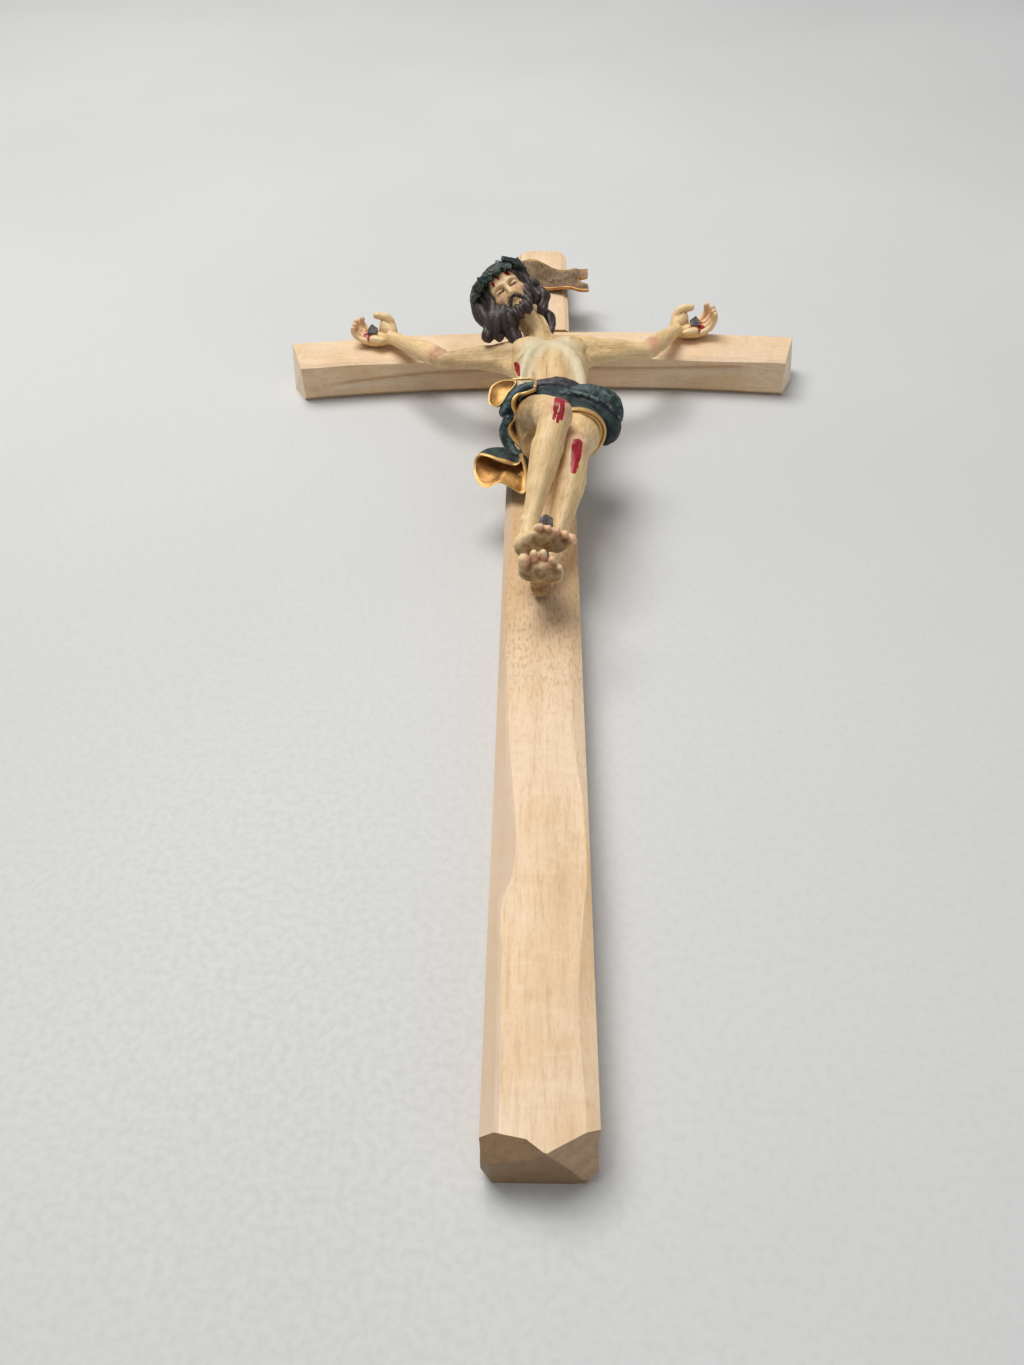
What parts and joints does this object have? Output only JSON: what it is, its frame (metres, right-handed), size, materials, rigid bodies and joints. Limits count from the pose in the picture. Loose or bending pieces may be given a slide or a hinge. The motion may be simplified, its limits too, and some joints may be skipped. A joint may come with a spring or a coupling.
{
  "type": "crucifix",
  "caption": "Carved wooden wall crucifix: faceted cross with an arched, lapped cross beam, nailed and painted figure with loincloth and crown, and a bare title scroll.",
  "frame": {"origin": "middle of the upright's length and width, on the cross's flat back face", "axes": "+X along the cross beam to the figure's left, +Y up the upright towards the head, +Z out of the front face"},
  "size_m": [0.125, 0.25, 0.0364],
  "materials": {
    "beam_wood": "raw hand-cut pale hardwood",
    "flesh_paint": "hand-painted carved wood, matt",
    "dowel_wood": "raw wood",
    "hair_paint": "dark brown paint on carved wood",
    "crown_paint": "dark green paint on carved wood",
    "cloth_paint": "dark teal paint on carved wood",
    "gilding": "gold leaf on carved wood",
    "nail_metal": "dark grey forged head",
    "scroll_paint": "antique gold paint on carved wood",
    "pin_metal": "dull brass"
  },
  "bodies": {
    "root": {"upright_beam": "beam_wood", "cross_beam": "beam_wood", "trunk": "flesh_paint", "right_arm": "flesh_paint", "left_arm": "flesh_paint", "head": "flesh_paint", "right_shoulder_dowel": "dowel_wood", "left_shoulder_dowel": "dowel_wood", "hair_and_beard": "hair_paint", "crown_of_thorns": "crown_paint", "loincloth": "cloth_paint", "loincloth_flap": "gilding", "loincloth_drape": "gilding", "right_hand_nail": "nail_metal", "left_hand_nail": "nail_metal", "foot_nail": "nail_metal", "titulus_scroll": "scroll_paint", "titulus_pin": "pin_metal"}
  },
  "joints": []
}
